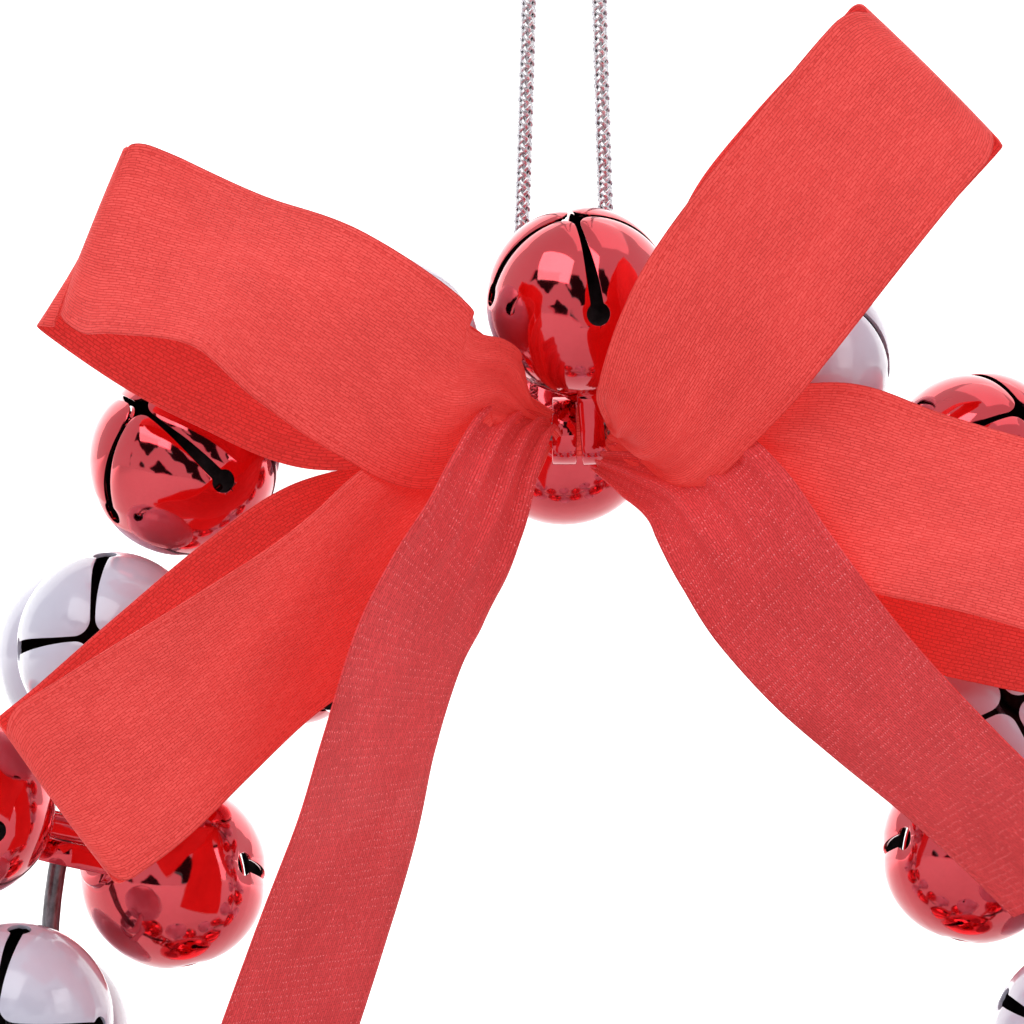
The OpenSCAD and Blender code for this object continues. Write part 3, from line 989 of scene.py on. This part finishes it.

# A station is (distance along the heading, offset to its left, distance to the front, width, roll of the
# width towards the front), in millimetres and degrees, as in the CAD. They were placed to follow the
# bow's outlines in the photo.
STRIPS = {
    "bow_loop_upper_left": (158, [
        (3.9, 0.2, 4.3, 2.6, 0), (6, 0.6, 9, 4, 0), (7.5, 0.2, 12.6, 6, 0), (9.5, -0.4, 15.7, 10, 0),
        (11.3, -0.4, 18.2, 13.5, 0), (16, 3, 24, 22, 0), (24, 1.7, 29.5, 24.5, 0),
        (35, -0.5, 32.5, 25, 14), (46, -2, 33.5, 25, 36), (56.5, -1.1, 32, 25, 24),
        (62.5, 0, 29.5, 25, 5), (63.8, 0.3, 26.5, 25, 0), (62, 1.2, 23.5, 25, 0),
        (51, 3.8, 21.5, 25, 8), (41, 4.8, 21.5, 25, 12), (31.5, 5, 23.2, 24.5, 6),
        (25, 3, 24.8, 22, 0), (19, 1, 22.8, 17, 0), (14, -0.3, 17.8, 11.5, 0), (8.5, 0.3, 11.8, 5, 0),
        (5.5, 0.4, 7.3, 3.5, 0), (3.9, 0.2, 3.7, 2.6, 0)]),
    "bow_loop_lower_left": (216, [
        (4, -1.2, 4.2, 2.2, 0), (9, -1.5, 10.5, 9, -10), (15, -2, 16, 16, -20),
        (25, -1.5, 23, 22, -30), (34, -0.5, 28, 24.5, -38), (45, -0.5, 32, 25, -40),
        (56, -0.2, 36, 25, -30), (68, 0, 39.5, 25, -12), (76, -0.4, 39.5, 25, 0),
        (77.4, -0.4, 37, 25, 0), (76, -0.6, 34.2, 25, 0), (70, -1, 32.5, 25, -4),
        (58, -2.3, 30.3, 25, -10), (45, -3.5, 24.5, 25, -16), (34, -4.3, 20.5, 23, -20),
        (22, -4, 14, 14, -25), (12, -2.5, 9, 8, -10), (4, -1.2, 3.6, 2.2, 0)]),
    "bow_loop_upper_right": (45, [
        (3.3, -2.4, 4.2, 2.2, 0), (3.2, -5.5, 12, 8, 0), (4.2, -7.2, 19, 16, 10),
        (8.5, -7, 25, 19.5, 18), (17, -4.9, 30, 23.5, 12), (26, -3, 33, 25, 5), (42, -1, 35, 25, 0),
        (54, 0.2, 33.5, 25, 0), (60, 0.4, 30.5, 25, 0), (60.6, 0.4, 27.5, 25, 0),
        (58.5, 0.2, 25, 25, 0), (54, 0, 23.8, 25, 0), (42, -0.5, 23.8, 25, 0), (31, -1.5, 25.5, 24, 0),
        (21, -2.5, 24.8, 17, 0), (16.5, -2.6, 21.8, 12, 5), (11, -3.6, 16.8, 9, 20),
        (6, -2.6, 8.5, 5, 10), (3.3, -2.4, 3.6, 2.2, 0)]),
    "bow_loop_lower_right": (-14, [
        (4, 0.6, 4.2, 3.5, 0), (8, 0.8, 10, 8, 10), (13, 1.2, 15, 13, 20), (20, 1.4, 20.8, 16.5, 20),
        (30, 1.3, 26.5, 24.5, -8), (40, 1, 31, 25, -24), (52, 1, 35.5, 25, -28),
        (65, 0.8, 37.8, 25, -20), (71, 0, 37, 25, -8), (72.5, -1, 34.8, 25, 0),
        (70, -3.5, 32.8, 25, 0), (64, -5, 31.5, 25, 0), (54, -5.6, 30, 25, 0), (42, -5.6, 26.3, 25, 0),
        (30, -5.5, 20.5, 20, 0), (25, -5.5, 17.5, 16, 0), (20, -5, 13.5, 12.5, 0), (11, -2, 8, 8, 5),
        (4, 0.6, 3.6, 3.5, 0)]),
    "bow_tail_left": (244.5, [
        (1.5, -2.9, 4.7, 3, 0), (1.4, -6, 11, 7, -20), (5.5, -7, 17, 11.5, -40),
        (12, -6.6, 22.5, 17, -52), (18, -6.4, 26, 21, -56), (25, -6.8, 28, 24, -57),
        (33, -6.9, 28.5, 25, -58), (45, -5.2, 27, 25, -58), (56, -3.2, 24, 25, -57),
        (70, -1.5, 19, 25, -55), (83, 0, 14, 25, -53)]),
    "bow_tail_right": (-43, [
        (4.4, -0.4, 4.4, 4, 0), (9, 2.6, 12, 10, 8), (14, 5.2, 19, 16, 15), (22, 4, 25, 21, 28),
        (30, 2, 28, 24, 38), (40, 0.5, 29, 25, 45), (50, 0, 29, 25, 50), (62, 0, 28, 25, 54),
        (74, 0, 26, 25, 55), (82, 0, 24, 25, 55)]),
}


def in_heading(heading, along, left, front):
    a = math.radians(heading)
    return Vector(
        (along * math.cos(a) - left * math.sin(a), -front, along * math.sin(a) + left * math.cos(a))
    )


def ribbon_rows(heading, stations):
    """(middle, across, face, width, distance along the ribbon) for each row, in metres."""
    run = catmull_rom(stations, ROWS_A_STATION)
    middles = [GATHER + in_heading(heading, s[0], s[1], s[2]) * MM for s in run]
    rows = []
    travelled = 0.0
    for i, (s, run_direction) in enumerate(zip(run, directions(middles))):
        roll = math.radians(s[4])
        across = in_heading(heading, 0, math.cos(roll), math.sin(roll))
        across = (across - across.dot(run_direction) * run_direction).normalized()
        if i:
            travelled += (middles[i] - middles[i - 1]).length
        rows.append((middles[i], across, run_direction.cross(across), s[3] * MM, travelled))
    return rows


def pleat(v, width, depth, phase):
    """Height of the gathers across the ribbon, deepest where it is drawn in: v runs from -1 to 1."""
    squeeze = max(1 - width / (RIBBON_W * MM), 0)
    folds = math.cos(3.2 * math.pi * v + phase) + 0.45 * math.cos(6.7 * math.pi * v + 2.1 * phase)
    return depth * width * squeeze**1.2 * folds


def ripple(v, travelled, phase):
    """The slow waves and the slight cupping of a soft ribbon."""
    return 0.10 * MM * math.sin(travelled / (7.5 * MM) + phase) * v - 0.20 * MM * v * v


def corner_inset(rows, middle):
    """How far the ribbon's edges draw in where a loop folds back, which rounds the fold's corners."""
    fold = max((row[0] - GATHER).length for row in rows)
    near = min(fold - (middle - GATHER).length, FOLD_ROUND)
    return FOLD_ROUND - math.sqrt(FOLD_ROUND**2 - (FOLD_ROUND - near) ** 2)


def make_strip(node, heading, stations, phase):
    rows = ribbon_rows(heading, stations)
    pleats = TAIL_PLEATS if "tail" in node else LOOP_PLEATS
    corners = []
    places = []
    for middle, across, face, width, travelled in rows:
        inset = corner_inset(rows, middle) if "loop" in node else 0
        for k in range(RIBBON_COLUMNS + 1):
            v = 2 * k / RIBBON_COLUMNS - 1
            lift = pleat(v, width, pleats, phase) + ripple(v, travelled, phase)
            corners.append(middle + across * v * (width / 2 - inset) + face * lift)
            places.append((travelled / MM, v * RIBBON_W / 2))
    width = RIBBON_COLUMNS + 1
    faces = [
        (i * width + k, i * width + k + 1, (i + 1) * width + k + 1, (i + 1) * width + k)
        for i in range(len(rows) - 1)
        for k in range(RIBBON_COLUMNS)
    ]
    mesh = mesh_from(f"{node}_ribbon", corners, faces)
    layer = mesh.uv_layers.new(name="ribbon_mm")
    for loop in mesh.loops:
        layer.data[loop.index].uv = places[loop.vertex_index]
    face_material = TAIL_FACE_PAINTED_SHADE if "tail" in node else SATIN_FACE
    piece = add_object(f"{node}_ribbon", mesh, [SATIN_BACK, face_material])
    sheet = piece.modifiers.new("ribbon_thickness", "SOLIDIFY")
    sheet.thickness = RIBBON_T
    sheet.offset = 0
    sheet.material_offset = 1
    sheet.material_offset_rim = 1
    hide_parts(node)
    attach(piece, "wreath")


def make_gather():
    """The ribbon's pinched middle, a pleated bundle inside the two top shanks."""
    low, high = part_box("bow_gather")
    middle = (low + high) / 2
    half_y = (high.y - low.y) / 2
    half_z = (high.z - low.z) / 2
    rings = []
    for i in range(GATHER_STEPS + 1):
        x = low.x + (high.x - low.x) * i / GATHER_STEPS
        ring = []
        for k in range(GATHER_SIDES):
            a = 2 * math.pi * k / GATHER_SIDES
            wave = math.cos(GATHER_PLEATS * a + 0.6 * math.sin(i / 5))
            pleats = 1 - GATHER_PLEAT_DEPTH * (0.5 + 0.5 * wave)
            y = middle.y + half_y * pleats * math.cos(a)
            z = middle.z + half_z * pleats * math.sin(a)
            ring.append(Vector((x, y, z)))
        rings.append(ring)
    corners, faces = sweep(rings)
    mesh = mesh_from("bow_gather_bundle", corners, faces)
    layer = mesh.uv_layers.new(name="ribbon_mm")
    for loop in mesh.loops:
        place = mesh.vertices[loop.vertex_index].co
        layer.data[loop.index].uv = (place.x / MM, (place.z + place.y) / MM)
    piece = add_object("bow_gather_bundle", mesh, [SATIN_FACE])
    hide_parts("bow_gather")
    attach(piece, "wreath")


make_gather()
for index, (strip, (strip_heading, strip_stations)) in enumerate(STRIPS.items()):
    make_strip(strip, strip_heading, strip_stations, 0.8 * index)
